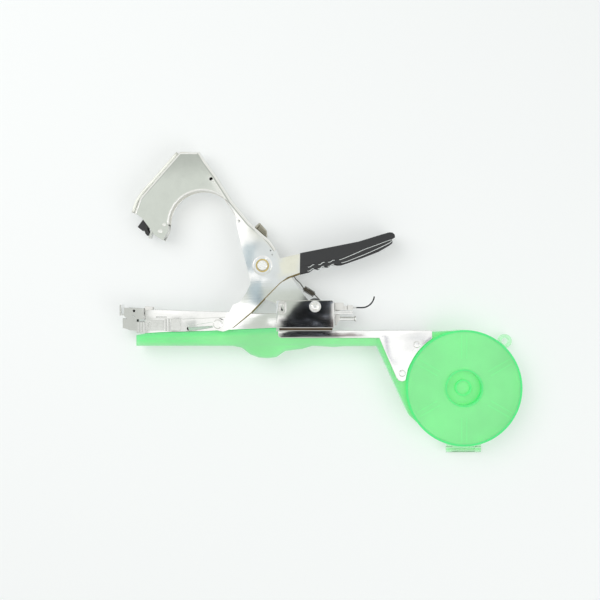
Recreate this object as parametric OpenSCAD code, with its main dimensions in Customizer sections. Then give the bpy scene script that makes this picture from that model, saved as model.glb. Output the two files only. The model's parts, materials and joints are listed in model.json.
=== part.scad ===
// Plier-type tape tying tool, lying on its side: millimetres, +Z up, +X to the reel, +Y to the jaw.
// Side outlines are drawn in the XY plane and given a width about the middle plane.

/* [Stack of widths] */
// Height of the middle plane over the resting plane
mid = 12; // [10:0.5:15]
// Half width outside the staple channel
mag_out = 4.0; // [3.6:0.1:4.4]
// Half width outside the lower channel
low_out = 5.2; // [4.8:0.1:5.2]
// Half width outside the jaw arm
arm_out = 6.5; // [6.2:0.1:6.6]
// Half width outside the rear bracket and the reel arm
rear_out = 7.9; // [7.8:0.1:8.2]
// Half width outside the bare handle
lever_out = 10.7; // [10.6:0.1:11]
// Half width outside the grip
grip_out = 12.0; // [11.8:0.1:12]
// Half width outside the tape tube
duct_out = 6.6; // [6.4:0.1:6.6]

/* [Sheet metal] */
// Thickness of the jaw arm, bracket and handle sheet
sheet = 1.2; // [1:0.1:1.3]
// Thickness of the lower channel sheet
thin_sheet = 1.0; // [0.8:0.1:1]
// Thickness of the staple channel sheet
mag_sheet = 0.8; // [0.6:0.1:0.9]
// Bend radius along the folded edges of the jaw arm
fold_r = 3.2; // [2:0.1:3.4]

/* [Pivots] */
// Jaw arm hinge, across
hinge_x = -4.1; // [-6:0.1:-2]
// Jaw arm hinge, up
hinge_y = -2.5; // [-4:0.1:0]
// Radius of the jaw arm hinge pin
hinge_r = 2.0; // [1.5:0.1:2.5]
// Handle pivot, across
pivot_x = -43.4; // [-45:0.1:-42]
// Handle pivot, up
pivot_y = 28.0; // [27:0.1:29]
// Radius of the handle pivot
pivot_r = 2.4; // [2:0.1:2.6]
// Drive pin, across
drive_x = -76.6; // [-78:0.1:-75]
// Drive pin, up
drive_y = -15.6; // [-16:0.1:-15]
// Radius of the drive pin
drive_r = 1.3; // [1:0.1:1.4]
// Running clearance on a radius
run = 0.05; // [0.02:0.01:0.1]

/* [Tape reel case] */
// Reel centre, across
reel_x = 107.2; // [100:0.1:112]
// Reel centre, up
reel_y = -63.6; // [-66:0.1:-60]
// Outside radius of the case
reel_r = 43.1; // [40:0.1:46]
// Radius of the hub the tape reel turns on
hub_r = 14.2; // [13.9:0.1:15]
// Radius of the dish in the face of the case
dish_r = 12.9; // [11:0.1:13]
// Depth of that dish
dish_d = 5.4; // [4:0.1:7]
// Outside radius of the ring on the lid that the tool rests on
foot_r = 12.7; // [10:0.1:14]
// Lid hinge line, up
lid_y = -111.8; // [-112:0.1:-109]
// Lid hinge line, height
lid_z = 5.6; // [5:0.1:6]

/* [Hidden] */
$fn = 64;
eps = 0.01;
rod_y = -11.9;
grid = 0.02;
mag_in = mag_out - mag_sheet;
low_in = low_out - thin_sheet;
arm_in = arm_out - sheet;
rear_in = rear_out - sheet;
lever_in = lever_out - sheet;
duct_in = duct_out - 1.0;
slot_half = 1.8;
slot_end_x = -98.6;
slot_end_y = -19.1;
case_top = 2 * mid - 3;
lid_top = 4.6;

// A prism of a side outline, from half width a to half width b on both sides of the middle plane
module pair(a, b) {
    translate([0, 0, mid + a]) linear_extrude(b - a) children();
    translate([0, 0, mid - b]) linear_extrude(b - a) children();
}

// A prism of a side outline right across, half width b
module across(b) {
    translate([0, 0, mid - b]) linear_extrude(2 * b) children();
}

// A round bar across the tool at one point, half width b
module bar(x, y, r, b) {
    translate([x, y, mid - b]) cylinder(r = r, h = 2 * b);
}

// The outermost t of a side outline: the folded edges of a sheet part lie in it
module skin(t) {
    difference() {
        children();
        offset(delta = -t) children();
    }
}

low_side = [[-132.0, -12.6], [-126.4, -11.2], [-103.1, -12.0], [-70.1, -10.4], [-50.2, -7.7],
    [-34.1, -7.8], [8.0, -7.8], [8.0, -17.6], [-33.2, -17.6], [-33.2, -18.86], [-67.9, -20.3],
    [-86.6, -21.3], [-120.4, -22.2], [-132.0, -23.0]];

module low_outline() {
    polygon(low_side);
}

module lower_channel() {
    color([0.74, 0.75, 0.77])
    difference() {
        union() {
            pair(low_in, low_out) low_outline();
            across(low_in + eps) intersection() {
                skin(thin_sheet) low_outline();
                polygon([[-131.0, -30.0], [-131.0, -20.6], [-86.0, -18.9], [-67.9, -18.2],
                    [-34.0, -16.6],
                    [-34.0, -15.9], [6.9, -15.9], [6.9, -30.0]]);
            }
        }
        // drive slot through both walls
        translate([0, 0, mid]) linear_extrude(4 * low_out, center = true) {
            translate([drive_x, drive_y]) circle(slot_half);
            translate([slot_end_x, slot_end_y]) circle(slot_half);
            polygon([[drive_x - 0.29, drive_y + 1.88], [slot_end_x - 0.29, slot_end_y + 1.88],
                [slot_end_x + 0.29, slot_end_y - 1.88], [drive_x + 0.29, drive_y - 1.88]]);
        }
    }
}

// Upright slot shape of half width r, with its end centres h apart
module stadium(r, h) {
    square([2 * r, h], center = true);
    for (s = [-1, 1])
        translate([0, s * h / 2]) circle(r);
}

rear_side = [[-33.1, -18.8], [-33.1, 2.2], [7.9, 2.2], [10.1, 0], [10.1, -18.8]];

module rear_bracket() {
    color([0.62, 0.63, 0.66])
    difference() {
        union() {
            pair(rear_in, rear_out) difference() {
                union() {
                    polygon(rear_side);
                    translate([7.9, 0]) circle(2.2);
                }
                translate([hinge_x, hinge_y]) circle(hinge_r + 0.02);
            }
            across(rear_in + eps) translate([-33.1, -18.8]) square([43.2, sheet]);
            // pressed loop with a raised rim in each side
            pair(rear_out - eps, rear_out + 0.6) translate([-28.5, -3.3]) stadium(2.6, 4.0);
        }
        pair(rear_out - 0.4, rear_out + 2) translate([-28.5, -3.3]) stadium(1.6, 3.6);
        bar(-28.5, -1.7, 0.7, 20);
        // blind seats of the spring post
        bar(3.5, -1.6, 0.9, rear_out - 0.48);
    }
}

reel_arm_bar = [[-31.9, -20.4], [83.6, -20.4], [83.6, -26.2], [-29.1, -26.2], [-31.9, -23.4]];
reel_arm_plate = [[43.9, -26.2], [56.6, -55.8], [58.3, -58.0], [61.0, -58.9], [63.6, -58.0],
    [64.6, -55.6], [65.3, -50.4], [67.2, -45.6], [70.0, -41.0], [73.4, -36.8], [77.6, -33.0],
    [83.6, -28.9], [83.6, -26.2]];

module reel_arm() {
    color([0.80, 0.81, 0.83])
    difference() {
        union() {
            pair(rear_in, rear_out) {
                polygon(reel_arm_bar);
                translate([-29.1, -23.4]) circle(2.8);
                translate([0, eps]) polygon(reel_arm_plate);
            }
            across(rear_in + eps) translate([-31.9, -21.4]) square([115.5, 1.0]);
        }
        bar(71.9, -31.0, 1.6, 20);
        bar(61.0, -52.5, 1.6, 20);
        // the plate ends short of the raised drum
        bar(reel_x, reel_y, reel_r + 0.6, 20);
    }
}

module reel_arm_rivets() {
    color([0.85, 0.86, 0.88])
    for (p = [[71.9, -31.0], [61.0, -52.5]]) {
        bar(p[0], p[1], 1.6, rear_out);
        for (s = [-1, 1])
            translate([p[0], p[1], mid + s * rear_out]) mirror([0, 0, s < 0 ? 1 : 0]) {
                cylinder(r = 2.6, h = 0.5);
                translate([0, 0, 0.5]) cylinder(r1 = 2.6, r2 = 1.7, h = 0.5);
            }
    }
}

module spacer_strip() {
    color([0.42, 0.38, 0.34])
    across(6.0) translate([-31.0, -20.4]) square([40.0, 1.6]);
}

tube_side = [[-138.0, -24.06], [-132.0, -23.06], [-120.4, -22.26], [-86.6, -21.36], [-67.9, -20.36],
    [-33.3, -18.96], [-33.3, -21.46], [84.0, -21.46], [84.0, -31.9], [17.2, -32.3], [9.4, -32.9],
    [0.4, -32.3], [-6.0, -32.0], [-13.9, -34.3], [-19.1, -34.9], [-26.6, -35.9], [-33.1, -40.4],
    [-39.5, -41.3], [-46.1, -40.8], [-52.5, -38.5], [-58.9, -33.4], [-65.6, -32.0],
    [-138.0, -32.0]];
tube_bore = [[-139.0, -25.4], [-120.4, -23.6], [-67.9, -21.8], [-34.0, -22.8], [90.0, -22.8],
    [90.0, -30.6], [-64.0, -30.6], [-139.0, -30.6]];
grip_hollow = [[-62.0, -31.8], [-58.0, -32.0], [-51.9, -37.0], [-46.0, -39.2], [-39.5, -39.8],
    [-33.8, -38.9], [-27.2, -34.4], [-20.0, -33.4], [-14.0, -32.8], [-9.0, -31.8]];

module tape_tube() {
    color([0.45, 0.90, 0.50])
    difference() {
        across(duct_out) difference() {
            polygon(tube_side);
            // the tube stops where the reel case starts
            translate([42.2, -34]) square([60, 14]);
        }
        across(duct_in) polygon(tube_bore);
        across(duct_in - 0.8) polygon(grip_hollow);
    }
}

corner_side = [[42.3, -21.5], [84.0, -21.5], [108.0, -20.6], [107.2, -63.6], [84.0, -99.6],
    [76.0, -93.0], [66.2, -83.8], [42.3, -32.0]];
corner_bore = [[41.0, -22.8], [108.0, -22.0], [107.2, -63.6], [84.6, -97.6], [77.0, -91.4],
    [67.4, -82.8], [43.7, -31.4], [43.7, -30.6], [41.0, -30.6]];

module reel_case() {
    color([0.50, 0.95, 0.55])
    difference() {
        union() {
            difference() {
                union() {
                    translate([reel_x, reel_y, lid_top + grid])
                        cylinder(r = reel_r, h = case_top - lid_top - grid, $fn = 160);
                    across(duct_out) polygon(corner_side);
                }
                translate([reel_x, reel_y, 0])
                    cylinder(r = reel_r - 1.6, h = case_top - 1.6, $fn = 160);
                across(duct_in) polygon(corner_bore);
                // the corner ends at the rim of the drum on the lid side
                translate([reel_x, reel_y, 0])
                    cylinder(r = reel_r + 0.2, h = lid_top + grid, $fn = 160);
            }
            // hub the reel turns on, with a raised rim on the face
            translate([reel_x, reel_y, 6.4]) cylinder(r = hub_r, h = case_top - 6.4);
            translate([reel_x, reel_y, case_top - eps]) cylinder(r = hub_r + 0.3, h = 0.5 + eps);
            // six ribs under the face
            for (a = [30:60:330])
                translate([reel_x, reel_y, case_top - 2.1]) rotate(a) translate([22, -1.9, 0])
                    cube([18, 3.8, 0.6]);
            // rim bead
            translate([reel_x, reel_y, case_top - 1.0]) difference() {
                cylinder(r = reel_r + 0.4, h = 1.0, $fn = 160);
                translate([0, 0, -1]) cylinder(r = reel_r - 1, h = 3, $fn = 160);
            }
            // hinge ears for the lid
            for (x = [96.4, 118.2]) {
                translate([x, lid_y, lid_z]) rotate([0, 90, 0]) cylinder(r = 2.3, h = 4.4);
                translate([x, lid_y, lid_z]) cube([4.4, 7.6, 2.3]);
            }
        }
        // inside of the hub, and the dish in its face round a hollow boss
        translate([reel_x, reel_y, 5]) cylinder(r = hub_r - 1.4, h = case_top - dish_d - 6.6);
        translate([reel_x, reel_y, case_top - dish_d]) difference() {
            cylinder(r = dish_r, h = 20);
            translate([0, 0, -1]) cylinder(r = 6.2, h = 3.2);
        }
        translate([reel_x, reel_y, case_top - dish_d + 0.4]) cylinder(r = 4.8, h = 20);
        // seats of the lid hinge pin
        translate([90, lid_y, lid_z]) rotate([0, 90, 0]) cylinder(r = 0.92, h = 40);
        // seats of the arm rivets
        bar(71.9, -31.0, 1.62, 20);
        bar(61.0, -52.5, 1.62, 20);
    }
}

module reel_case_lid() {
    color([0.60, 0.97, 0.65])
    difference() {
        union() {
            translate([reel_x, reel_y, 3.0]) cylinder(r = reel_r, h = lid_top - 3.0, $fn = 160);
            // locating lip inside the wall of the case
            translate([reel_x, reel_y, lid_top - eps]) difference() {
                cylinder(r = reel_r - 1.8, h = 1.0, $fn = 160);
                translate([0, 0, -1]) cylinder(r = reel_r - 3.0, h = 3, $fn = 160);
            }
            // raised ring the tool rests on
            translate([reel_x, reel_y, 0]) cylinder(r = foot_r, h = 3.0 + eps);
            // ring tab
            difference() {
                union() {
                    translate([141.3, -29.1, 3.0]) cylinder(r = 5.3, h = 2.4);
                    translate([136.0, -34.4, 3.0]) rotate(45) translate([-4, -3.4]) cube([9, 6.8, 2.4]);
                }
                translate([reel_x, reel_y, lid_top + eps])
                    cylinder(r = reel_r + 0.7, h = 20, $fn = 160);
            }
            // hinge knuckle
            translate([101.2, lid_y, lid_z]) rotate([0, 90, 0]) cylinder(r = 2.3, h = 16.6);
            translate([101.2, lid_y, 3.3]) cube([16.6, 6.0, 1.3]);
        }
        translate([reel_x, reel_y, -1]) cylinder(r = foot_r - 2.6, h = 3.6);
        translate([141.3, -29.1, 0]) cylinder(r = 2.5, h = 10);
        translate([90, lid_y, lid_z]) rotate([0, 90, 0]) cylinder(r = 0.9 + run, h = 40);
    }
}

module lid_hinge_pin() {
    color([0.40, 0.86, 0.50])
    translate([96.4, lid_y, lid_z]) rotate([0, 90, 0]) cylinder(r = 0.9, h = 26.2);
}

module hinge_pin() {
    color([0.84, 0.85, 0.87]) {
        bar(hinge_x, hinge_y, hinge_r, rear_out + 0.1);
        for (s = [0, 1])
            translate([hinge_x, hinge_y, mid]) mirror([0, 0, s]) translate([0, 0, rear_out]) {
                cylinder(r = 4.35, h = 0.5);
                translate([0, 0, 0.5]) cylinder(r1 = 2.8, r2 = 2.3, h = 0.5);
                translate([0, 0, 1.0]) cylinder(r1 = 2.3, r2 = 1.2, h = 0.3);
            }
    }
}

module spring_post() {
    color([0.8, 0.81, 0.83])
    bar(3.5, -1.6, 0.88, rear_out - 0.5);
}

module lower_tape_clamp() {
    color([0.80, 0.80, 0.80])
    {
        pair(4.1, 5.1) {
            polygon([[-148.6, -11.6], [-138.2, -11.6], [-138.2, -20.9], [-143.0, -20.4],
                [-148.6, -18.6]]);
            translate([-138.4, -22.4]) square([6.36, 8.4]);
        }
        across(5.1) translate([-148.6, -18.8]) square([1.0, 7.4]);
        across(4.2) translate([-138.4, -22.4]) square([6.36, 1.0]);
        // pressed ribs
        for (x = [-137.8, -135.6, -133.4])
            pair(5.1 - eps, 5.5) translate([x, -21.6]) square([1.0, 7.0]);
    }
}

module front_plate() {
    color([0.70, 0.71, 0.72])
    difference() {
        union() {
            pair(low_out + grid, low_out + 0.6) {
                translate([-131.2, -20.6]) square([13.6, 8.2]);
                translate([-112.4, -20.6]) square([7.6, 8.6]);
            }
            for (x = [-117.0, -114.6])
                pair(low_out + grid, low_out + 1.0) translate([x, -20.9]) square([1.4, 9.2]);
            for (p = [[-129.0, -16.4, 2.0], [-123.8, -16.0, 1.5], [-120.4, -16.4, 1.5]])
                pair(low_out + 0.6 - eps, low_out + 0.9) translate([p[0], p[1]]) circle(p[2]);
        }
        bar(-129.0, -16.4, 1.1, 20);
    }
}

arm_side = [[-106.1, 114.1], [-91.4, 114.1], [-78.1, 95.6], [-66.8, 77.6], [-53.2, 60.8],
    [-37.9, 47.1], [-33.4, 40.6], [-30.1, 33.1], [-21.7, 19.1], [-12.1, 5.6], [-8.6, 1.4],
    [-4.1, -8.7], [-20.0, -5.4], [-33.8, -0.2], [-42.2, 3.1], [-52.0, 14.5], [-54.8, 25.9],
    [-58.4, 38.3], [-63.1, 59.2], [-114.0, 59.2], [-114.8, 53.3], [-118.4, 47.0], [-124.1, 50.7],
    [-133.9, 63.8], [-140.3, 68.3], [-136.1, 79.6]];
arm_fold = [[-145.0, 71.2], [-137.2, 68.4], [-131.0, 80.0], [-104.0, 110.0], [-94.0, 110.0],
    [-81.0, 94.0], [-69.6, 76.0], [-56.0, 59.5], [-40.6, 45.3], [-36.4, 39.2], [-31.0, 43.0],
    [-50.0, 66.0], [-85.0, 118.0], [-110.0, 118.0], [-145.0, 84.0]];

fold_line = [[-140.3, 68.3], [-136.1, 79.6], [-106.1, 114.1], [-91.4, 114.1], [-78.1, 95.6],
    [-66.8, 77.6], [-53.2, 60.8], [-37.9, 47.1], [-33.4, 40.6]];

module arm_outline() {
    difference() {
        union() {
            polygon(arm_side);
            translate([hinge_x, hinge_y]) circle(6.2);
        }
        translate([-88.6, 59.2]) circle(25.5);
    }
}

// Rounds both long edges of one fold: the run from a to b has the sheet on its right hand side
module round_fold(a, b, r) {
    run_len = norm(b - a);
    translate([a[0], a[1], mid]) rotate(atan2(b[1] - a[1], b[0] - a[0]))
        for (s = [0, 1])
            mirror([0, 0, s]) translate([-0.6, -r, arm_out - r]) difference() {
                cube([run_len + 1.2, r + 1, r + 1]);
                translate([-1, 0, 0]) rotate([0, 90, 0])
                    cylinder(r = r + 0.05, h = run_len + 4, $fn = 12);
            }
}

module jaw_shell() {
    color([0.78, 0.80, 0.78])
    difference() {
        union() {
            pair(arm_in, arm_out) arm_outline();
            across(arm_in + eps) intersection() {
                skin(sheet) polygon(arm_side);
                polygon(arm_fold);
            }
            // flange round the throat
            across(arm_in + eps) intersection() {
                translate([-88.6, 59.2]) difference() {
                    circle(26.5);
                    circle(25.5);
                }
                polygon([[-118.0, 59.6], [-118.0, 92.0], [-72.0, 92.0], [-72.0, 76.0], [-88.0, 59.6]]);
            }
        }
        bar(hinge_x, hinge_y, hinge_r + run, 20);
        bar(pivot_x, pivot_y, pivot_r, 20);
        bar(-82.1, 93.1, 1.3, 20);
        translate([-61.4, 61.4, mid]) cylinder(r = 1.2, h = 20);
        bar(-120.1, 53.9, 1.0, 20);
        bar(-117.2, 58.8, 1.0, 20);
        // small notches beside the fold
        translate([-37.4, 39.4, 0]) cylinder(r = 0.55, h = 40);
        translate([-36.2, 36.2, 0]) cylinder(r = 0.5, h = 40);
        for (i = [0:len(fold_line) - 2])
            round_fold(fold_line[i], fold_line[i + 1], fold_r);
    }
}

module anvil_block() {
    color([0.66, 0.67, 0.69])
    difference() {
        across(arm_in - grid) polygon([[-123.6, 51.3], [-118.7, 48.0], [-115.6, 53.4], [-116.0, 62.0],
            [-122.5, 66.5], [-124.6, 60.4]]);
        bar(-120.1, 53.9, 1.0, 20);
        bar(-117.2, 58.8, 1.0, 20);
        // staple forming grooves in the face
        for (s = [-1, 1])
            translate([-121.2, 49.3, mid + 1.3 * s]) rotate(-33.6) cube([4.0, 0.8, 0.9], center = true);
    }
}

module jaw_rivets() {
    color([0.82, 0.83, 0.85])
    for (p = [[-120.1, 53.9, 1.9], [-117.2, 58.8, 1.5]]) {
        bar(p[0], p[1], 0.98, arm_out);
        for (s = [0, 1])
            translate([p[0], p[1], mid]) mirror([0, 0, s]) translate([0, 0, arm_out])
                cylinder(r1 = p[2], r2 = p[2] * 0.7, h = 0.5);
    }
}

module cutter_blade() {
    color([0.88, 0.89, 0.90])
    translate([0, 0, mid - 3.4]) linear_extrude(6.8)
        polygon([[-124.6, 59.9], [-126.4, 58.9], [-129.6, 49.6], [-128.9, 48.5], [-127.6, 49.2]]);
}

module tape_catch() {
    color([0.10, 0.10, 0.11])
    {
        across(3.5) polygon([[-133.6, 62.9], [-128.2, 60.2], [-130.8, 56.5], [-134.0, 54.4],
            [-137.7, 57.3]]);
        across(arm_in - grid) polygon([[-133.4, 63.4], [-128.0, 60.6], [-126.0, 63.6], [-129.8, 68.0]]);
        across(3.5) polygon([[-133.6, 62.9], [-128.2, 60.2], [-127.8, 61.0], [-133.2, 63.8]]);
    }
}

module catch_hook() {
    color([0.12, 0.12, 0.13])
    for (s = [-1, 1])
        translate([0, 0, mid + 4.1 * s - 0.57]) linear_extrude(1.14)
            polygon([[-131.2, 59.6], [-129.2, 60.2], [-130.0, 56.2], [-129.1, 51.4], [-130.2, 50.4],
                [-131.9, 52.6], [-132.3, 56.0]]);
}

module web_lug() {
    color([0.70, 0.71, 0.73])
    across(3.0) polygon([[-49.4, 57.6], [-46.3, 60.4], [-45.6, 60.3], [-40.4, 54.6], [-40.2, 49.5],
        [-41.4, 50.4], [-41.6, 54.0], [-46.0, 58.8], [-48.0, 56.4]]);
}

module pivot_bolt() {
    color([0.86, 0.87, 0.88])
    difference() {
        union() {
            bar(pivot_x, pivot_y, pivot_r - 0.02, lever_out);
            for (s = [0, 1])
                translate([pivot_x, pivot_y, mid]) mirror([0, 0, s])
                    translate([0, 0, lever_out - 0.7]) {
                    cylinder(r = 3.9, h = 1.1);
                    translate([0, 0, 1.1]) cylinder(r1 = 3.9, r2 = 3.2, h = 0.6);
                }
        }
        for (a = [90, 210, 330])
            translate([pivot_x + 1.7 * cos(a), pivot_y + 1.7 * sin(a), mid + lever_out + 0.5])
                cylinder(r = 0.5, h = 2);
    }
}

module brass_ring() {
    color([0.80, 0.66, 0.38])
    for (s = [0, 1])
        translate([pivot_x, pivot_y, mid]) mirror([0, 0, s]) translate([0, 0, lever_out - 0.7])
            difference() {
            cylinder(r = 5.0, h = 0.9);
            translate([0, 0, -1]) cylinder(r = 3.92, h = 3);
        }
}

lever_side = [[-30.4, 33.3], [-18.4, 36.1], [-15.7, 36.6], [-15.7, 35.3], [0.9, 39.0], [28.4, 44.5],
    [46.0, 49.6], [46.0, 42.0], [34.0, 37.0], [14.0, 31.0], [-6.0, 26.6], [-15.6, 22.6],
    [-24.6, 19.4], [-30.4, 15.2], [-35.2, 10.4], [-42.4, 3.1], [-52.1, -7.0], [-59.9, -13.6],
    [-66.9, -19.4], [-72.6, -21.2], [-80.4, -19.6], [-79.2, -11.8], [-72.6, -12.6], [-70.2, -9.8],
    [-67.6, -6.0], [-65.2, -1.2], [-60.5, 0.5], [-55.1, 8.2], [-52.6, 13.7], [-50.9, 27.4],
    [-46.0, 35.0]];

module handle_shell() {
    color([0.84, 0.84, 0.80])
    difference() {
        union() {
            pair(lever_in, lever_out) {
                polygon(lever_side);
                translate([drive_x, drive_y]) circle(4.2);
                translate([pivot_x, pivot_y]) circle(7.6);
            }
            // bosses pressed in until they meet the jaw arm
            pair(arm_out + 0.2, lever_in + eps) translate([pivot_x, pivot_y]) circle(7.0);
            // folded top flanges either side of the jaw arm, a bridge under the grip and one at its end
            pair(arm_out + 0.4, lever_in + eps)
                translate([-30.4, 33.3]) rotate(13.1) translate([0, -sheet]) square([14.0, sheet]);
            across(lever_in + eps) {
                translate([-12.5, 35.3]) rotate(11.4) square([7.0, sheet]);
                translate([49.0, 46.2]) rotate(16) square([2.4, 3.0]);
            }
            pair(lever_in, lever_out) polygon([[45.9, 49.5], [51.6, 50.8], [52.4, 46.4], [45.9, 42.1]]);
        }
        bar(pivot_x, pivot_y, pivot_r + run - 0.02, 20);
        for (s = [0, 1])
            translate([pivot_x, pivot_y, mid]) mirror([0, 0, s]) translate([0, 0, lever_out - 0.75]) {
                cylinder(r1 = 6.3, r2 = 7.5, h = 0.76);
                // shallow marks pressed beside the grip
                for (d = [[16.2, -0.8], [15.2, -6.4]])
                    translate([d[0], d[1], 0.5]) cylinder(r = 1.0, h = 1);
            }
        bar(drive_x, drive_y, drive_r + 0.02, 20);
    }
}

grip_main = [[-15.4, 37.1], [0.9, 40.4], [28.4, 45.8], [44.0, 50.6], [50.8, 52.6], [53.4, 52.4],
    [55.0, 50.9], [55.2, 48.8], [53.4, 47.6], [50.4, 47.0], [33.0, 40.6], [15.8, 33.3], [8.0, 32.2],
    [0.6, 30.5], [-7.1, 28.9], [-15.4, 26.8]];
grip_tongue = [[-15.4, 34.0], [10.0, 38.0], [40.0, 44.0], [52.4, 47.6], [53.4, 46.0], [53.2, 44.3],
    [50.8, 42.6], [44.9, 39.3], [33.9, 35.0], [22.9, 31.1], [16.4, 28.9], [13.2, 28.7], [9.7, 29.4],
    [7.8, 28.5], [5.9, 27.2], [4.2, 27.2], [2.5, 27.8], [0.4, 26.6], [-1.1, 25.6], [-2.8, 25.6],
    [-4.6, 26.1], [-6.4, 24.8], [-8.5, 23.3], [-15.6, 21.7]];

module handle_grip() {
    color([0.07, 0.07, 0.08])
    difference() {
        union() {
            pair(lever_out + grid, grip_out) polygon(grip_main);
            pair(lever_out + grid, grip_out - 0.5) polygon(grip_tongue);
            across(lever_out + 0.1) intersection() {
                skin(1.0) polygon(grip_main);
                polygon([[-17.0, 35.7], [0.9, 39.1], [28.4, 44.5], [44.0, 49.2], [51.9, 51.4],
                    [52.8, 46.8],
                    [58.0, 46.0], [58.0, 56.0], [44.0, 56.0], [-17.0, 44.0]]);
            }
        }
        // slot the pusher lever swings through
        translate([37.0, 40.0, mid - 2.5]) cube([10.0, 14.0, 5.0]);
    }
}

module drive_stub() {
    // one stub pin in one leg: a pin into the slot, a collar and a round head
    translate([0, 0, low_in + 0.15]) cylinder(r = drive_r, h = lever_out - low_in - 0.15 + 0.2);
    translate([0, 0, low_out + 0.3]) cylinder(r = 2.2, h = lever_in - low_out - 0.32);
    translate([0, 0, lever_out]) cylinder(r = 3.6, h = 0.7);
    translate([0, 0, lever_out + 0.7]) cylinder(r1 = 3.6, r2 = 2.6, h = 0.6);
}

module drive_stub_near() {
    color([0.85, 0.86, 0.88]) translate([drive_x, drive_y, mid]) drive_stub();
}

module drive_stub_far() {
    color([0.85, 0.86, 0.88]) translate([drive_x, drive_y, mid]) mirror([0, 0, 1]) drive_stub();
}

module spring_tab() {
    color([0.72, 0.73, 0.75])
    difference() {
        across(0.6) polygon([[-12.3, 35.32], [-6.2, 36.54], [-8.0, 31.0], [-19.9, 20.8],
            [-22.9, 20.8], [-22.6, 23.6]]);
        bar(-21.4, 22.4, 0.7, 2);
    }
}

module return_spring() {
    // close-wound coil shown as its outer form, with a hook at each end
    color([0.12, 0.12, 0.13]) {
        translate([-12.9, 11.5, mid]) rotate([0, 90, -31]) cylinder(r = 2.3, h = 10.0);
        translate([-20.9, 19.9, mid]) rotate([0, 90, -46]) cylinder(r = 0.5, h = 11.4);
        translate([-4.8, 6.6, mid]) rotate([0, 90, -46.5]) cylinder(r = 0.5, h = 10.4);
    }
}

mag_side = [[-131.8, -5.2], [-126.4, -4.9], [-68.2, -6.7], [-50.2, -7.7], [9.5, -7.9], [9.5, -5.8],
    [24.4, -5.8], [24.4, -8.4], [11.2, -8.4], [9.6, -14.7], [-60.0, -14.8], [-131.8, -14.0]];

module staple_channel() {
    color([0.76, 0.77, 0.79])
    difference() {
        union() {
            pair(mag_in, mag_out) {
                polygon(mag_side);
                polygon([[-14.0, -8.2], [-8.0, -1.0], [-4.1, 1.8], [0.1, -2.0], [2.0, -8.2]]);
                translate([hinge_x, hinge_y]) circle(4.3);
            }
            across(mag_in + eps) intersection() {
                skin(mag_sheet) polygon(mag_side);
                translate([-130.0, -20.0]) square([139.0, 8.0]);
            }
            // skirts that close the drive slot from inside
            pair(mag_in, mag_out) polygon([[-101.5, -14.2], [-72.0, -14.6], [-72.0, -16.8],
                [-101.5, -18.4]]);
        }
        bar(hinge_x, hinge_y, hinge_r + run, 20);
        // groove along the rear rails
        pair(mag_out - 0.3, mag_out + 1) translate([10.4, -7.5]) square([20, 0.8]);
        // feed window in the nose
        translate([-123.7, -10.9, mid - 10]) cube([8.0, 0.6, 20]);
    }
}

module nose_block() {
    color([0.78, 0.78, 0.76])
    difference() {
        across(mag_in - grid) polygon([[-132.4, -2.5], [-126.4, -2.8], [-126.4, -13.1],
            [-131.6, -13.1], [-132.4, -12.6]]);
        // staple passage
        translate([-130.6, -20, mid - 2.6]) cube([0.9, 30, 5.2]);
    }
}

module upper_tape_clamp() {
    color([0.82, 0.82, 0.80])
    difference() {
        union() {
            // side panels
            pair(5.2, 6.2) polygon([[-147.4, -3.4], [-132.6, -4.0], [-132.6, -12.2], [-144.4, -12.2],
                [-147.4, -9.6]]);
            // cross plate, foot and front lip
            across(6.0) translate([-147.3, -9.0]) square([1.1, 5.5]);
            across(6.1) translate([-150.2, -9.2]) square([3.4, 1.0]);
            across(6.2) translate([-150.7, -9.3]) square([1.2, 8.1]);
            // bridge to the nose
            pair(mag_in - 0.4, 5.6) translate([-133.7, -11.9]) square([1.0, 7.4]);
            across(mag_in) translate([-133.5, -11.6]) square([1.08, 2.4]);
        }
        bar(-139.9, -5.9, 1.0, 20);
        bar(-140.2, -9.9, 0.8, 20);
    }
}

module follower() {
    color([0.60, 0.61, 0.63])
    difference() {
        across(mag_in - 0.1) polygon([[-125.6, -6.6], [-113.6, -6.8], [-113.6, -13.1],
            [-125.6, -13.1]]);
        translate([-114.8, rod_y, mid]) rotate([0, 90, 0]) cylinder(r = 1.02, h = 3);
    }
}

module pusher_rod() {
    color([0.80, 0.81, 0.83]) {
        translate([-114.8, rod_y, mid]) rotate([0, 90, 0]) cylinder(r = 1.0, h = 128.0);
        translate([13.2, rod_y, mid]) rotate([0, 90, 0]) cylinder(r = 1.5, h = 12.0);
        translate([25.2, rod_y, mid]) rotate([0, 90, 0]) cylinder(r1 = 1.5, r2 = 2.4, h = 1.2);
        translate([26.4, rod_y, mid]) rotate([0, 90, 0]) cylinder(r = 2.4, h = 0.5);
    }
}

module rear_cap() {
    color([0.86, 0.85, 0.78])
    difference() {
        union() {
            across(4.2) translate([10.8, -5.2]) square([6.6, 5.5]);
            across(3.4) translate([17.3, -5.2]) square([2.6, 3.2]);
            across(3.4) translate([20.5, -5.2]) square([3.9, 3.6]);
            across(2.4) translate([19.8, -5.0]) square([0.8, 2.8]);
            // leg that holds the rod
            across(2.6) polygon([[11.0, -5.0], [14.6, -5.0], [14.6, -13.2], [13.0, -14.2],
                [12.2, -16.8], [11.0, -16.8]]);
        }
        translate([5, rod_y, mid]) rotate([0, 90, 0]) cylinder(r = 1.02, h = 8.2);
        translate([13.2, rod_y, mid]) rotate([0, 90, 0]) cylinder(r = 1.52, h = 12);
        translate([8, -3.5, mid]) rotate([0, 90, 0]) cylinder(r = 0.56, h = 20);
    }
}

module hook_lever() {
    color([0.08, 0.08, 0.09]) {
        translate([11.0, -3.5, mid]) rotate([0, 90, 0]) cylinder(r = 0.55, h = 20.4 + eps);
        translate([31.4, 6.0, mid]) rotate(-90) rotate_extrude(angle = 84) translate([9.5, 0])
            circle(0.55);
    }
}

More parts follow.
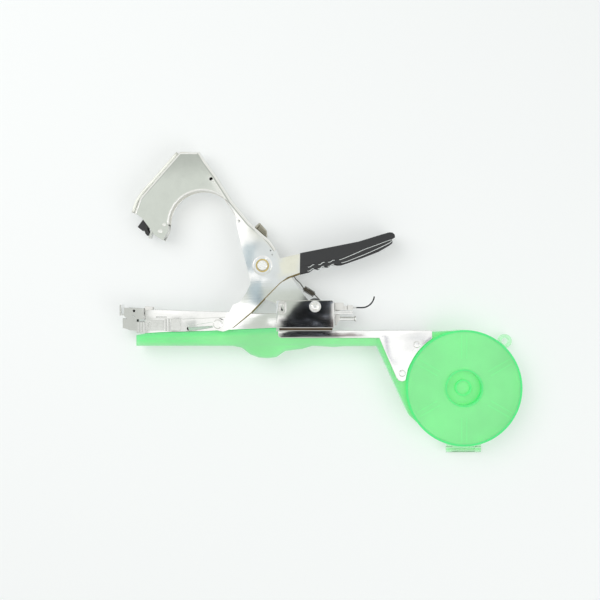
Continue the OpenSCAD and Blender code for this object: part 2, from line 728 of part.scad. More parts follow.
lower_channel();
rear_bracket();
reel_arm();
tape_tube();
reel_case();
hinge_pin();
reel_arm_rivets();
spacer_strip();
lower_tape_clamp();
front_plate();
lid_hinge_pin();
spring_post();
jaw_shell();
anvil_block();
cutter_blade();
tape_catch();
catch_hook();
jaw_rivets();
web_lug();
pivot_bolt();
brass_ring();
handle_shell();
handle_grip();
drive_stub_near();
drive_stub_far();
spring_tab();
return_spring();
staple_channel();
nose_block();
upper_tape_clamp();
follower();
pusher_rod();
hook_lever();
rear_cap();
reel_case_lid();
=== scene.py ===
import bpy
import json
import math
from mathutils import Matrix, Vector


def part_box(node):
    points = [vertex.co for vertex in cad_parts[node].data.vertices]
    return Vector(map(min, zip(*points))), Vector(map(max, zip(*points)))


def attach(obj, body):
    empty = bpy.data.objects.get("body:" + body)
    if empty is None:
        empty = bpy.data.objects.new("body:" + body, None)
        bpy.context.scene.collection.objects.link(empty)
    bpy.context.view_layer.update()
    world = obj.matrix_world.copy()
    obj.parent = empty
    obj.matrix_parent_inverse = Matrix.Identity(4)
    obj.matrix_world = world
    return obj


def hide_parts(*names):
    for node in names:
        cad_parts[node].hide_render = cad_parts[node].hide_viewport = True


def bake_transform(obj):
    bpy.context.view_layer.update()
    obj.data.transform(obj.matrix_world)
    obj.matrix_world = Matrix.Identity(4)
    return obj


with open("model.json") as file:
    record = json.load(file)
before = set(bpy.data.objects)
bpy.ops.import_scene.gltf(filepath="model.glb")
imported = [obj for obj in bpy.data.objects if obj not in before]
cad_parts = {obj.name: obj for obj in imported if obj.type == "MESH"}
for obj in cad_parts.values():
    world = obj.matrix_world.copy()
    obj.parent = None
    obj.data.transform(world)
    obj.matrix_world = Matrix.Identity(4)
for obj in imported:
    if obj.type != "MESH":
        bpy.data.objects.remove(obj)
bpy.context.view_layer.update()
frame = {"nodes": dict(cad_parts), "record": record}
scene = bpy.context.scene
MM = 0.001
DRUM = (0.1072, -0.0636)  # middle of the reel drum, metres
MID = 12.0  # height of the tool's middle plane, mm
THROAT = (-88.6, 59.2)  # middle of the jaw's round throat, mm
THROAT_LIP_R = 25.9  # radius of the lip round the throat, mm


# ---------------------------------------------------------------- camera
def make_camera():
    """Straight above the tool, as in the picture."""
    cam = bpy.data.objects.new("camera", bpy.data.cameras.new("camera"))
    scene.collection.objects.link(cam)
    cam.data.lens = 50.0
    cam.data.sensor_width = 36.0
    cam.data.clip_start = 0.01
    cam.data.clip_end = 20.0
    cam.location = (-0.0154, 0.0023, 0.643)
    cam.rotation_euler = (0.0, 0.0, 0.0)
    scene.camera = cam


# ---------------------------------------------------------------- materials
class Nodes:
    """A short way to build a node tree: n("Type", input=value or socket, ...) makes one node."""

    def __init__(self, name, world=False):
        self.owner = bpy.data.worlds.new(name) if world else bpy.data.materials.new(name)
        self.owner.use_nodes = True
        self.tree = self.owner.node_tree
        self.tree.nodes.clear()

    def __call__(self, kind, props=None, **inputs):
        node = self.tree.nodes.new("ShaderNode" + kind)
        for key, value in (props or {}).items():
            setattr(node, key, value)
        for key, value in inputs.items():
            by_number = key[0] == "i" and key[1:].isdigit()
            socket = node.inputs[int(key[1:]) if by_number else key.replace("_", " ")]
            if isinstance(value, bpy.types.NodeSocket):
                self.tree.links.new(value, socket)
            else:
                socket.default_value = value
        return node

    def calc(self, operation, *values):
        """One Math node, with its values in order."""
        inputs = {f"i{k}": value for k, value in enumerate(values)}
        return self("Math", {"operation": operation}, **inputs).outputs[0]

    def blend_colors(self, fac, under, over):
        """under where fac is 0 and over where it is 1."""
        return self("Mix", {"data_type": "RGBA"}, i0=fac, i6=under, i7=over).outputs[2]

    def ramp(self, fac, stops):
        """A color ramp over fac, with stops of (position, color)."""
        node = self.tree.nodes.new("ShaderNodeValToRGB")
        while len(node.color_ramp.elements) < len(stops):
            node.color_ramp.elements.new(0.5)
        for el, (pos, col) in zip(node.color_ramp.elements, stops):
            el.position = pos
            el.color = (*col, 1.0)
        self.tree.links.new(fac, node.inputs[0])
        return node.outputs[0]

    def out(self, surface):
        """Ends the tree with surface, and gives back the material."""
        node = self.tree.nodes.new("ShaderNodeOutputMaterial")
        self.tree.links.new(surface, node.inputs["Surface"])
        return self.owner


def grey(v):
    return (v, v, v)


def metal(name, color, rough, wave, grain, tarnish, edge=None):
    """Plated sheet with pressing waves, polishing marks, faint tarnish, and upright walls darkened to the
    tone edge as painted shade.
    """
    n = Nodes(name)
    co = n("TexCoord").outputs["Object"]
    slow = n("TexNoise", Vector=co, Scale=38.0, Detail=2.0, Roughness=0.45).outputs["Fac"]
    fine = n("TexNoise", Vector=co, Scale=900.0, Detail=4.0, Roughness=0.6).outputs["Fac"]
    streak_co = n("Mapping", Vector=co, Scale=(60.0, 1400.0, 1400.0)).outputs[0]
    streak = n("TexNoise", Vector=streak_co, Scale=1.0, Detail=3.0).outputs["Fac"]
    cloud = n("TexNoise", Vector=co, Scale=120.0, Detail=5.0, Roughness=0.65).outputs["Fac"]
    tint = n.ramp(cloud, [(0.30, tuple(c * (1.0 - tarnish) for c in color)), (0.62, color)])
    # upright walls take the tone edge: painted shade, set by which way the face points
    if edge:
        nz = n("SeparateXYZ", Vector=n("TexCoord").outputs["Normal"]).outputs["Z"]
        wall = n("MapRange", Value=n.calc("ABSOLUTE", nz), From_Min=0.45, From_Max=0.2).outputs[0]
        tint = n.blend_colors(wall, tint, (*edge, 1.0))
    r = n("MapRange", Value=fine, To_Min=rough * 0.7, To_Max=rough * 1.5).outputs[0]
    b1 = n("Bump", Height=slow, Strength=wave, Distance=0.0012).outputs[0]
    b2 = n("Bump", Height=streak, Strength=grain, Distance=0.00004, Normal=b1).outputs[0]
    p = n("BsdfPrincipled", Base_Color=tint, Metallic=1.0, Roughness=r, Normal=b2)
    return n.out(p.outputs[0])


def plastic(name, color, rough, coat=0.0, mottled=0.1, bump=0.15, scale=1400.0):
    """Opaque plastic, mottled by the share mottled, with a fine grain of the given scale."""
    n = Nodes(name)
    co = n("TexCoord").outputs["Object"]
    cloud = n("TexNoise", Vector=co, Scale=90.0, Detail=4.0).outputs["Fac"]
    fine = n("TexNoise", Vector=co, Scale=scale, Detail=5.0, Roughness=0.7).outputs["Fac"]
    tint = n.ramp(cloud, [(0.3, tuple(c * (1.0 - mottled) for c in color)), (0.7, color)])
    r = n("MapRange", Value=fine, To_Min=rough * 0.8, To_Max=rough * 1.25).outputs[0]
    b = n("Bump", Height=fine, Strength=bump, Distance=0.0001).outputs[0]
    p = n("BsdfPrincipled", Base_Color=tint, Roughness=r, Normal=b, Coat_Weight=coat, Coat_Roughness=0.15)
    return n.out(p.outputs[0])


def sleeved_wire(name, start):
    """Bright wire, with a black sleeve over all of it that lies beyond start on X."""
    n = Nodes(name)
    co = n("TexCoord").outputs["Object"]
    past = n.calc("GREATER_THAN", n("SeparateXYZ", Vector=co).outputs["X"], start)
    bright = n("BsdfPrincipled", Base_Color=(0.75, 0.76, 0.74, 1.0), Metallic=1.0, Roughness=0.2).outputs[0]
    black = n("BsdfPrincipled", Base_Color=(0.014, 0.015, 0.018, 1.0), Roughness=0.35).outputs[0]
    return n.out(n("MixShader", i0=past, i1=bright, i2=black).outputs[0])


def clear_green(name, face, wall, milk, rings=(), pale_beyond=1.0, pale_below=1.0, spokes=0.0, tube=0.0):
    """Clear dyed moulding: faces are pale, walls seen through their depth are a deeper green, and a faint
    glow in its own colour is painted light.

    rings is a list of (radius, half width, depth) about the drum axis. spokes is the depth of the drum's
    six ribs, and tube that of the tape tube's roof and ridges. What lies both beyond pale_beyond of the
    drum axis and below pale_below on Y is thin, and paler. Lengths are in metres."""
    n = Nodes(name)
    tex = n("TexCoord")
    co = tex.outputs["Object"]
    flow = n("TexNoise", Vector=co, Scale=26.0, Detail=3.0, Roughness=0.5).outputs["Fac"]
    fine = n("TexNoise", Vector=co, Scale=700.0, Detail=4.0).outputs["Fac"]
    b = n("Bump", Height=flow, Strength=0.10, Distance=0.001).outputs[0]
    b = n("Bump", Height=fine, Strength=0.05, Distance=0.0001, Normal=b).outputs[0]
    upright = n.calc("ABSOLUTE", n("SeparateXYZ", Vector=tex.outputs["Normal"]).outputs["Z"])
    depth = n("MapRange", Value=upright, From_Min=0.97, From_Max=0.55).outputs[0]
    flat = n("VectorMath", {"operation": "MULTIPLY_ADD"}, i0=co, i1=(1.0, 1.0, 0.0),
             i2=(-DRUM[0], -DRUM[1], 0.0)).outputs[0]
    reach = n("VectorMath", {"operation": "LENGTH"}, i0=flat).outputs["Value"]
    for radius, half, amount in rings:
        off = n.calc("COMPARE", reach, radius, half)
        depth = n.calc("MULTIPLY_ADD", off, amount, depth)
    around = n("SeparateXYZ", Vector=flat)
    angle = n.calc("ARCTAN2", around.outputs["Y"], around.outputs["X"])
    swing = n.calc("PINGPONG", n.calc("ADD", angle, math.pi * 2), math.pi / 6)
    side = n.calc("MULTIPLY", n.calc("SUBTRACT", math.pi / 6, swing), reach)
    edge = n.calc("COMPARE", side, 0.0019, 0.0004)
    span = n.calc("COMPARE", reach, 0.031, 0.009)
    depth = n.calc("MULTIPLY_ADD", n.calc("MULTIPLY", edge, span), spokes, depth)
    place = n("SeparateXYZ", Vector=co)
    if tube:
        # the double wall along the top of the tape tube, and two ridges near its mouth
        lean = n.calc("MINIMUM", place.outputs["X"], -0.0333)
        height = n.calc("MULTIPLY_ADD", lean, -0.0487, place.outputs["Y"])
        roof = n("MapRange", Value=height, From_Min=-0.0220, From_Max=-0.0190, To_Max=tube).outputs[0]
        depth = n.calc("ADD", depth, roof)
        mouth = n("MapRange", Value=place.outputs["X"], From_Min=-0.080, From_Max=-0.098,
                  To_Max=tube).outputs[0]
        for y in (-0.0278, -0.0291):
            ridge = n.calc("COMPARE", place.outputs["Y"], y, 0.0003)
            depth = n.calc("MULTIPLY_ADD", ridge, mouth, depth)
    depth = n.calc("MINIMUM", depth, 1.0)
    light_face = n.ramp(flow, [(0.35, tuple(c * 0.93 for c in face)), (0.65, face)])
    body_c = n.blend_colors(depth, light_face, (*wall, 1.0))
    beyond = n.calc("GREATER_THAN", reach, pale_beyond)
    thin = n.calc("MULTIPLY", beyond, n.calc("LESS_THAN", place.outputs["Y"], pale_below))
    body_c = n.blend_colors(thin, body_c, (0.78, 0.97, 0.81, 1.0))
    thick = n.calc("MULTIPLY_ADD", depth, 0.30, milk)
    thick = n("Mix", {"data_type": "FLOAT"}, i0=thin, i2=thick, i3=0.22).outputs[0]
    clear = n("BsdfTransparent", Color=body_c).outputs[0]
    milky = n("BsdfPrincipled", Base_Color=body_c, Roughness=0.30, Normal=b,
              Specular_IOR_Level=0.3).outputs[0]
    glow = n("BsdfTranslucent", Color=body_c, Normal=b).outputs[0]
    scatter = n("MixShader", i0=0.4, i1=milky, i2=glow).outputs[0]
    # a faint glow in the body colour: painted light that brightens the moulding
    painted_glow = n("Emission", Color=body_c, Strength=0.22).outputs[0]
    scatter = n("AddShader", i0=scatter, i1=painted_glow).outputs[0]
    mix = n("MixShader", i0=thick, i1=clear, i2=scatter).outputs[0]
    gloss = n("BsdfGlossy", Color=(1, 1, 1, 1), Roughness=0.12, Normal=b).outputs[0]
    fres = n("Fresnel", IOR=1.2, Normal=b).outputs[0]
    return n.out(n("MixShader", i0=fres, i1=mix, i2=gloss).outputs[0])


# metals: color, roughness, pressing waves, grain, tarnish, and for two of them the painted shade of the
# walls
CHROME = metal("chrome_plate", (0.92, 0.925, 0.92), 0.05, 0.10, 0.08, 0.05)
JAW = metal("jaw_plate", (0.92, 0.925, 0.915), 0.06, 0.05, 0.08, 0.04, (0.66, 0.63, 0.54))
DARKCHROME = metal("mirror_plate", (0.84, 0.84, 0.83), 0.04, 0.03, 0.05, 0.04)
STEEL = metal("bare_steel", (0.70, 0.71, 0.69), 0.20, 0.10, 0.12, 0.12)
# darker brownish metal of the folded lug and its web: painted shade, with random tarnish
SHADED_LUG = metal("lug_painted_shade_and_tarnish", (0.52, 0.50, 0.42), 0.22, 0.3, 0.2, 0.35)
BRASS = metal("brass_ring", (0.72, 0.58, 0.26), 0.22, 0.1, 0.2, 0.25)
HANDLE = metal("handle_plate", (0.92, 0.925, 0.92), 0.05, 0.12, 0.08, 0.05, (0.60, 0.55, 0.44))
WHITEMETAL = metal("bolt_head", (0.95, 0.95, 0.94), 0.20, 0.1, 0.1, 0.05)
# plastics: color, roughness, coat, mottling, grain and its scale
GRIP = plastic("grip_vinyl", (0.012, 0.013, 0.015), 0.36, 0.15, 0.2, 0.25, 900.0)
BLACK = plastic("black_plastic", (0.014, 0.014, 0.017), 0.4)
BLACKSTEEL = plastic("black_oxide", (0.010, 0.010, 0.011), 0.3, 0.3)
CREAM = plastic("cream_plastic", (0.80, 0.80, 0.76), 0.35, 0.2)
FIBRE = plastic("fibre_strip", (0.10, 0.065, 0.03), 0.6, 0.0, 0.5, 0.4, 500.0)
SLEEVED = sleeved_wire("sleeved_wire", 0.0272)
RINGS = [(0.0427, 0.0007, 0.85), (0.0136, 0.0005, 0.75), (0.0056, 0.0005, 0.7)]
GREEN = clear_green("clear_green", (0.60, 0.945, 0.66), (0.10, 0.88, 0.33), 0.42, tube=0.45)
DRUM_GREEN = clear_green("drum_green", (0.54, 0.94, 0.62), (0.10, 0.88, 0.33), 0.42, RINGS,
                         pale_beyond=0.0440, pale_below=-0.1050, spokes=0.16)
GREEN_LID = clear_green("clear_green_lid", (0.68, 0.97, 0.73), (0.40, 0.92, 0.52), 0.30,
                        pale_beyond=0.0436)
# pale metal for the grip's ridges: painted highlights on the black vinyl
GRIP_HIGHLIGHT = metal("grip_painted_highlight", (0.74, 0.77, 0.78), 0.22, 0.05, 0.05, 0.1)
RIM = metal("folded_rim", (0.80, 0.81, 0.76), 0.45, 0.1, 0.1, 0.05)
# dark brown for the handle's rolled edge: partly the edge itself, partly painted shadow of the gap under it
LIP_AND_GAP_SHADOW = metal("rolled_edge_and_painted_shadow", (0.30, 0.24, 0.12), 0.25, 0.1, 0.2, 0.2)
SPRING = metal("spring_steel", (0.16, 0.145, 0.12), 0.22, 0.1, 0.1, 0.2)

LOOKS = {
    "chrome": CHROME, "steel": STEEL, "dark_chrome": DARKCHROME, "brass": BRASS,
    "black_vinyl": GRIP, "black_plastic": BLACK, "black_steel": BLACKSTEEL,
    "green_plastic": GREEN, "cream_plastic": CREAM, "fibre": FIBRE,
}
# nodes that look different from the rest of their material slot
BY_NODE = {
    "jaw_shell": JAW, "handle_shell": HANDLE, "hook_lever": SLEEVED, "web_lug": SHADED_LUG,
    "jaw_rivets": WHITEMETAL, "pivot_bolt": WHITEMETAL, "hinge_pin": WHITEMETAL,
    "reel_case": DRUM_GREEN, "reel_case_lid": GREEN_LID, "lid_hinge_pin": GREEN_LID,
}
# rounded edges, mm; the plain sheets take theirs without the modifier's clamping
SOFT_EDGE = {"handle_grip": 0.6, "reel_case": 0.5, "tape_tube": 0.6}
SHEET_EDGE = {"rear_bracket": 0.45, "reel_arm": 0.45, "lower_channel": 0.35, "staple_channel": 0.3}
PLAIN_EDGE = 0.22


def dress_cad():
    """Gives each CAD node its material, smooth shading, and modifiers that clean its faces and round
    its edges."""
    slots = {p["node"]: p["material_slot"] for p in frame["record"]["subparts"]}
    for name, obj in frame["nodes"].items():
        look = BY_NODE.get(name, LOOKS[slots[name]])
        if not obj.material_slots:
            obj.data.materials.append(look)
        for s in obj.material_slots:
            s.material = look
        weld = obj.modifiers.new("weld", "WELD")
        weld.merge_threshold = 0.000004
        flat = obj.modifiers.new("flat", "DECIMATE")
        flat.decimate_type = "DISSOLVE"
        flat.angle_limit = math.radians(0.6)
        bev = obj.modifiers.new("edge", "BEVEL")
        bev.width = SHEET_EDGE.get(name, SOFT_EDGE.get(name, PLAIN_EDGE)) * MM
        bev.segments = 2
        bev.use_clamp_overlap = name not in SHEET_EDGE
        bev.limit_method = "ANGLE"
        bev.angle_limit = math.radians(35)
        weighted = obj.modifiers.new("normals", "WEIGHTED_NORMAL")
        weighted.mode = "FACE_AREA"
        weighted.weight = 50
        weighted.keep_sharp = False
        for poly in obj.data.polygons:
            poly.use_smooth = True


# ---------------------------------------------------------------- pieces
def new_object(name, mesh, material):
    """Puts a mesh with one material into the scene."""
    obj = bpy.data.objects.new(name, mesh)
    scene.collection.objects.link(obj)
    mesh.materials.append(material)
    return obj


def wire(name, runs, radius, material, sides=10):
    """Round wires swept along lists of points, with closed ends, as one mesh."""
    verts, faces = [], []
    for points in runs:
        base = len(verts)
        side = Vector((0.0, 0.0, 1.0))
        for i, p in enumerate(points):
            ahead = (points[min(i + 1, len(points) - 1)] - points[max(i - 1, 0)]).normalized()
            side = (side - ahead * side.dot(ahead)).normalized()
            other = ahead.cross(side)
            for k in range(sides):
                a = 2.0 * math.pi * k / sides
                verts.append(p + (side * math.cos(a) + other * math.sin(a)) * radius)
        for i in range(len(points) - 1):
            for k in range(sides):
                a, b = base + i * sides, base + (i + 1) * sides
                k2 = (k + 1) % sides
                faces.append((a + k, b + k, b + k2, a + k2))
        faces.append(tuple(range(base, base + sides)))
        faces.append(tuple(reversed(range(len(verts) - sides, len(verts)))))
    mesh = bpy.data.meshes.new(name)
    mesh.from_pydata(verts, [], faces)
    mesh.update()
    for poly in mesh.polygons:
        poly.use_smooth = len(poly.vertices) == 4
    return new_object(name, mesh, material)


def smooth_path(points, z):
    """A rounded path through flat points given in mm, at height z in mm."""
    steps = 5
    out = []
    last = len(points) - 1
    for i in range(last):
        a, b, c, d = (Vector(points[min(max(k, 0), last)]) for k in (i - 1, i, i + 1, i + 2))
        for j in range(steps + (i == last - 1)):
            t = j / steps
            bow = (a * 2 - b * 5 + c * 4 - d) * t ** 2
            v = (b * 2 + (c - a) * t + bow + (b * 3 - a - c * 3 + d) * t ** 3) / 2
            out.append(Vector((v.x * MM, v.y * MM, z * MM)))
    return out


def both_sides(paths, z):
    """The same paths on the near side and mirrored about the middle plane."""
    return [smooth_path(p, h) for p in paths for h in (z, 2.0 * MID - z)]


def arc(centre, radius, start, end, steps):
    """Points on a level arc at the height of centre, angles in degrees."""
    out = []
    for i in range(steps + 1):
        a = math.radians(start + (end - start) * i / steps)
        out.append(centre + Vector((math.cos(a), math.sin(a), 0.0)) * radius)
    return out


def make_spring():
    """The close-wound return spring, hooked over the tab of the handle and the post in the bracket.

    No joint joins bracket and handle. It is round the post at rest."""
    low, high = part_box("return_spring")
    z = (low[2] + high[2]) / 2.0
    post_low, post_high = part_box("spring_post")
    post = Vector(((post_low[0] + post_high[0]) / 2.0, (post_low[1] + post_high[1]) / 2.0, z))
    tab = Vector((low[0] - 0.5 * MM, high[1] + 2.2 * MM, z))
    head = Vector((-12.7 * MM, 11.3 * MM, z))
    foot = Vector((-4.3 * MM, 6.2 * MM, z))
    turns, radius, steps = 9, 1.95 * MM, 22
    up = Vector((0.0, 0.0, 1.0))
    across = (foot - head).normalized().cross(up)
    points = arc(tab, 1.1 * MM, 250, -40, 12)
    neck = points[-1]
    points += [head.lerp(neck, 0.66) + across * 0.5 * MM, head.lerp(neck, 0.33) - across * 0.3 * MM]
    for i in range(turns * steps + 1):
        t = i / (turns * steps)
        a = 2.0 * math.pi * turns * t
        swell = min(1.0, 0.15 + 2.4 * turns * t / 2.0, 0.15 + 2.4 * turns * (1.0 - t) / 2.0)
        points.append(head.lerp(foot, t) + (up * math.cos(a) + across * math.sin(a)) * radius * swell)
    points.append(foot.lerp(post, 0.35))
    points += arc(post, 1.3 * MM, 130, -150, 14)
    spring = wire("coil_spring", [points], 0.36 * MM, SPRING)
    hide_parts("return_spring")
    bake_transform(spring)


def make_handle_details():
    """Moulded ridges of the grip in a pale metal that paints highlights on the black vinyl, and the rolled
    lower edge of the handle sheet in dark brown, partly a painted shadow of the gap under it.
    """
    waves = [
        [(-9.4, 26.7), (-7.6, 27.1), (-6.2, 28.3), (-4.8, 28.6)],
        [(-1.8, 28.4), (0.0, 28.9), (1.4, 30.1), (3.0, 30.4)],
        [(5.6, 30.3), (7.4, 30.7), (8.8, 31.7), (10.4, 31.9)],
    ]
    upper = [(13.7, 32.2), (16.2, 32.9), (24.8, 36.5), (33.3, 40.2),
             (42.3, 43.5), (50.3, 46.5), (52.4, 47.0)]
    lower = [(15.4, 29.9), (19.5, 31.0), (26.5, 33.7), (34.0, 36.7),
             (44.0, 41.2), (50.5, 44.4), (53.0, 46.2)]
    dips = [[(x - 0.4, y - 3.0) for x, y in wave] for wave in waves]
    runs = both_sides(waves + [upper], 23.6) + both_sides(dips + [lower], 23.3)
    # the ridges are pale: painted highlights
    ridges = wire("grip_highlight_ridges", runs, 0.34 * MM, GRIP_HIGHLIGHT)
    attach(ridges, "handle")
    edge = [(-15.6, 22.8), (-24.6, 19.6), (-30.2, 15.4), (-35.0, 10.6),
            (-42.2, 3.3), (-51.9, -6.8), (-59.7, -13.4), (-66.0, -18.4)]
    thick_end = [(-28.4, 16.6), (-22.4, 19.7), (-15.8, 22.2)]
    # dark brown lip: partly painted shadow of the gap under the handle's edge
    lip = wire("handle_lip", both_sides([edge], 21.9) + both_sides([thick_end], 21.3), 0.55 * MM, LIP_AND_GAP_SHADOW)
    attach(lip, "handle")


def make_jaw_details():
    """The jaw's throat lip, the creases and the rim of its back, and the web that fills its lug."""
    throat = []
    for k in range(13):
        a = math.radians(180.0 - 10.5 * k)
        throat.append((THROAT[0] + THROAT_LIP_R * math.cos(a), THROAT[1] + THROAT_LIP_R * math.sin(a)))
    lip = wire("throat_lip", both_sides([throat], 18.1), 0.8 * MM, WHITEMETAL)
    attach(lip, "jaw")
    creases = [[(-80.6, 91.4), (-71.6, 77.4), (-63.0, 64.0)], [(-49.2, 54.3), (-43.4, 48.6), (-37.7, 41.9)]]
    crease = wire("back_crease", both_sides(creases, 18.4), 0.28 * MM, WHITEMETAL)
    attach(crease, "jaw")
    rim_run = [(-140.9, 67.9), (-136.3, 79.7), (-121.9, 96.3), (-107.5, 112.8)]
    rim = wire("jaw_rim", both_sides([rim_run], 17.2), 1.1 * MM, RIM, 16)
    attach(rim, "jaw")
    filling = [
        [(-47.7, 57.0), (-41.3, 51.2)],
        [(-46.9, 57.9), (-41.4, 52.9)],
        [(-46.2, 58.6), (-41.6, 54.4)],
    ]
    # the web takes the lug's painted shade
    web = wire("lug_web", both_sides(filling, 13.2), 0.85 * MM, SHADED_LUG)
    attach(web, "jaw")


# ---------------------------------------------------------------- stage and light
def plane(name, size, location, material):
    """A level sheet that belongs to the stage, not to the tool."""
    hx, hy = size[0] / 2.0, size[1] / 2.0
    mesh = bpy.data.meshes.new(name)
    mesh.from_pydata([(-hx, -hy, 0), (hx, -hy, 0), (hx, hy, 0), (-hx, hy, 0)], [], [(0, 1, 2, 3)])
    obj = new_object(name, mesh, material)
    obj.location = location
    return obj


def make_stage():
    """The pale floor, the surroundings, and two soft lights."""
    n = Nodes("floor_paper")
    co = n("TexCoord").outputs["Object"]
    fine = n("TexNoise", Vector=co, Scale=400.0, Detail=3.0).outputs["Fac"]
    b = n("Bump", Height=fine, Strength=0.05, Distance=0.0003).outputs[0]
    p = n("BsdfPrincipled", Base_Color=(0.62, 0.63, 0.627, 1.0), Roughness=0.6, Specular_IOR_Level=0.2,
          Normal=b)
    lit = n("Emission", Color=(0.86, 0.90, 0.885, 1.0), Strength=0.36)
    paper = n.out(n("AddShader", i0=p.outputs[0], i1=lit.outputs[0]).outputs[0])
    plane("floor", (6.0, 6.0), (0, 0, -0.0002), paper)

    w = Nodes("studio", world=True)
    xyz = w("SeparateXYZ", Vector=w("TexCoord").outputs["Generated"])
    sky = w.ramp(xyz.outputs["Z"], [(0.0, grey(0.32)), (0.35, grey(0.45)), (0.8, grey(0.60))])
    walls = [(0.0, (0.70, 0.70, 0.63)), (0.35, (0.86, 0.86, 0.80)), (0.8, grey(0.95))]
    ring = w.ramp(xyz.outputs["Z"], walls)
    near = w("MapRange", Value=xyz.outputs["Y"], From_Min=-0.15, From_Max=-0.75).outputs[0]
    ring = w.blend_colors(near, ring, (0.55, 0.54, 0.48, 1.0))
    # reflections show the walls, and every other ray meets the sky
    seen = w.blend_colors(w("LightPath").outputs["Is Glossy Ray"], sky, ring)
    bg = w("Background", Color=seen, Strength=1.0).outputs[0]
    out = w.tree.nodes.new("ShaderNodeOutputWorld")
    w.tree.links.new(bg, out.inputs["Surface"])
    scene.world = w.owner

    def area(name, loc, size, power):
        data = bpy.data.lights.new(name, "AREA")
        data.shape = "RECTANGLE"
        data.size, data.size_y = size
        data.energy = power
        obj = bpy.data.objects.new(name, data)
        scene.collection.objects.link(obj)
        obj.location = loc
        obj.rotation_euler = (-Vector(loc)).to_track_quat("-Z", "Y").to_euler()

    area("key", (-0.55, 0.35, 0.95), (0.8, 0.8), 5.2)
    area("fill", (0.70, -0.45, 0.85), (0.9, 0.7), 3.4)


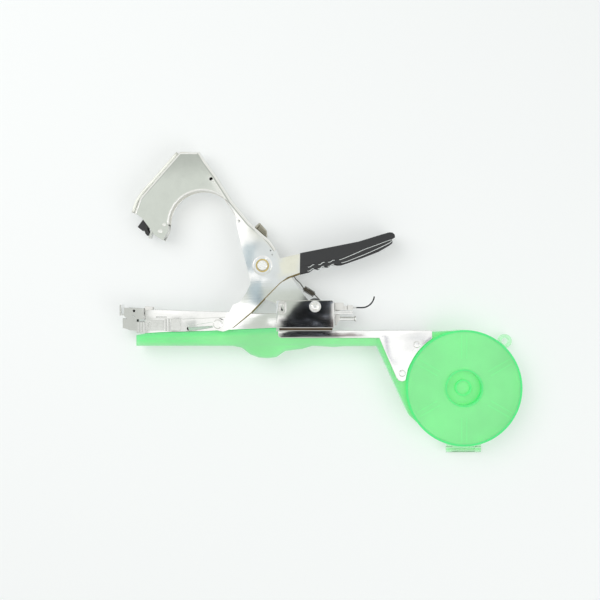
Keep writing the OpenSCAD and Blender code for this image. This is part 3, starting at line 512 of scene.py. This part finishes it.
def make_reflector():
    """Bright cloths, greys and a dark stand on a card above the tool, seen only in reflections."""
    n = Nodes("reflector")
    co = n("TexCoord").outputs["Object"]
    wobble = n("TexNoise", Vector=co, Scale=22.0, Detail=3.0)
    shift = n("VectorMath", {"operation": "MULTIPLY_ADD"}, i0=wobble.outputs["Color"],
              i1=(0.024, 0.024, 0.0), i2=(-0.012, -0.012, 0.0)).outputs[0]
    bent = n("VectorMath", {"operation": "ADD"}, i0=co, i1=shift).outputs[0]
    straight_xyz = n("SeparateXYZ", Vector=co)
    bent_xyz = n("SeparateXYZ", Vector=bent)

    def ramp_up(value, start, end):
        smooth = {"interpolation_type": "SMOOTHSTEP"}
        return n("MapRange", smooth, Value=value, From_Min=start, From_Max=end).outputs[0]

    def times(a, b):
        return n.calc("MULTIPLY", a, b)

    def patch(under, tone, x0, x1, y0, y1, soft, slant=0.0, xyz=bent_xyz, right=None):
        """A card from x0 to x1 and y0 to y1 (metres), its sides leaning by slant, cut off at right."""
        is_socket = isinstance(tone, bpy.types.NodeSocket)
        y = xyz.outputs["Y"]
        x = n.calc("MULTIPLY_ADD", y, -slant, xyz.outputs["X"])
        mask = times(times(ramp_up(x, x0 - soft, x0 + soft), ramp_up(x, x1 + soft, x1 - soft)),
                     times(ramp_up(y, y0 - soft, y0 + soft), ramp_up(y, y1 + soft, y1 - soft)))
        if right is not None:
            mask = times(mask, ramp_up(xyz.outputs["X"], right + 0.0008, right - 0.0008))
        return n.blend_colors(mask, under, tone if is_socket else (*tone, 1.0))

    folds = n("TexNoise", Vector=co, Scale=11.0, Detail=2.5).outputs["Fac"]
    col = n.ramp(folds, [(0.34, (0.72, 0.75, 0.76)), (0.46, (1.0, 1.0, 0.99)), (0.60, (1.2, 1.2, 1.18))])
    # the far wall that the jaw head mirrors, dimmer at the top
    col = patch(col, (0.66, 0.70, 0.64), -0.60, 0.60, 0.16, 0.60, 0.030)
    col = patch(col, (0.66, 0.70, 0.64), -0.60, -0.152, 0.080, 0.60, 0.010)
    col = patch(col, (0.47, 0.50, 0.455), -0.60, 0.60, 0.216, 0.60, 0.024)
    # the bright and the dull band along the back of the jaw
    col = patch(col, (1.15, 1.15, 1.12), -0.0318, -0.0230, 0.095, 0.196, 0.0015, -0.64, straight_xyz)
    col = patch(col, (0.74, 0.75, 0.67), -0.0230, 0.0200, 0.080, 0.205, 0.0020, -0.64, straight_xyz)
    # grey-green field behind the stand, pale grey above it, and a bluish fold at its left
    col = patch(col, (0.62, 0.66, 0.60), -0.105, 0.02, -0.060, 0.030, 0.006)
    col = patch(col, (0.76, 0.80, 0.80), -0.082, 0.02, 0.020, 0.103, 0.006)
    blue = n.ramp(wobble.outputs["Fac"], [(0.42, (0.20, 0.28, 0.33)), (0.58, (0.50, 0.60, 0.64))])
    col = patch(col, (1.25, 1.25, 1.22), -0.130, -0.098, 0.082, 0.140, 0.005)
    col = patch(col, blue, -0.114, -0.096, 0.046, 0.092, 0.005, 0.16)
    # white cloth over the foot of the handle, the front walls and the magazine, and one more cold fold
    col = patch(col, (1.35, 1.35, 1.32), -0.125, -0.072, -0.060, 0.002, 0.004, 0.88)
    col = patch(col, (1.05, 1.05, 1.02), -0.254, -0.130, -0.070, -0.012, 0.006)
    col = patch(col, (1.25, 1.25, 1.22), -0.066, -0.040, -0.040, -0.024, 0.004)
    col = patch(col, blue, -0.092, -0.074, -0.004, 0.030, 0.006)
    col = patch(col, (1.25, 1.25, 1.25), -0.074, -0.064, 0.029, 0.038, 0.004)
    # duller patches on the front walls, the mouth plates and the reel plate
    col = patch(col, (0.60, 0.62, 0.58), -0.340, -0.254, -0.080, 0.040, 0.006)
    col = patch(col, (0.48, 0.49, 0.47), -0.219, -0.203, -0.062, -0.024, 0.002, 0.0, straight_xyz)
    col = patch(col, (0.60, 0.63, 0.60), -0.196, -0.176, -0.062, -0.026, 0.005)
    col = patch(col, (0.40, 0.40, 0.48), 0.093, 0.100, -0.098, -0.056, 0.005, -0.334)
    col = patch(col, (0.48, 0.46, 0.50), 0.178, 0.196, -0.068, -0.046, 0.005)
    # cream board
    col = patch(col, (0.85, 0.85, 0.72), -0.045, -0.014, 0.036, 0.080, 0.002, 0.0, straight_xyz)
    # the dark stand, with a few pale streaks
    streak_co = n("Mapping", Vector=co, Scale=(40.0, 90.0, 1.0)).outputs[0]
    streaks = n("TexNoise", Vector=streak_co, Scale=1.0, Detail=3.0).outputs["Fac"]
    tones = [(0.45, (0.010, 0.011, 0.012)), (0.62, (0.05, 0.055, 0.065)), (0.72, (0.40, 0.44, 0.52))]
    stand = n.ramp(streaks, tones)
    col = patch(col, stand, -0.018, 0.090, -0.0380, 0.0120, 0.0040, 0.77, straight_xyz, 0.0385)
    col = patch(col, (0.36, 0.32, 0.31), 0.020, 0.078, -0.0600, -0.0345, 0.008, 0.0, straight_xyz)
    col = patch(col, stand, -0.050, 0.040, -0.0640, -0.0320, 0.0050, 0.0, straight_xyz, 0.050)
    glow = n.out(n("Emission", Color=col, Strength=1.0).outputs[0])
    card = plane("reflector", (1.6, 1.6), (0, 0, 0.70), glow)
    card.visible_camera = False
    card.visible_diffuse = False
    card.visible_shadow = False
    card.visible_transmission = False


make_camera()
dress_cad()
make_spring()
make_handle_details()
make_jaw_details()
make_stage()
make_reflector()
scene.view_settings.view_transform = "Standard"
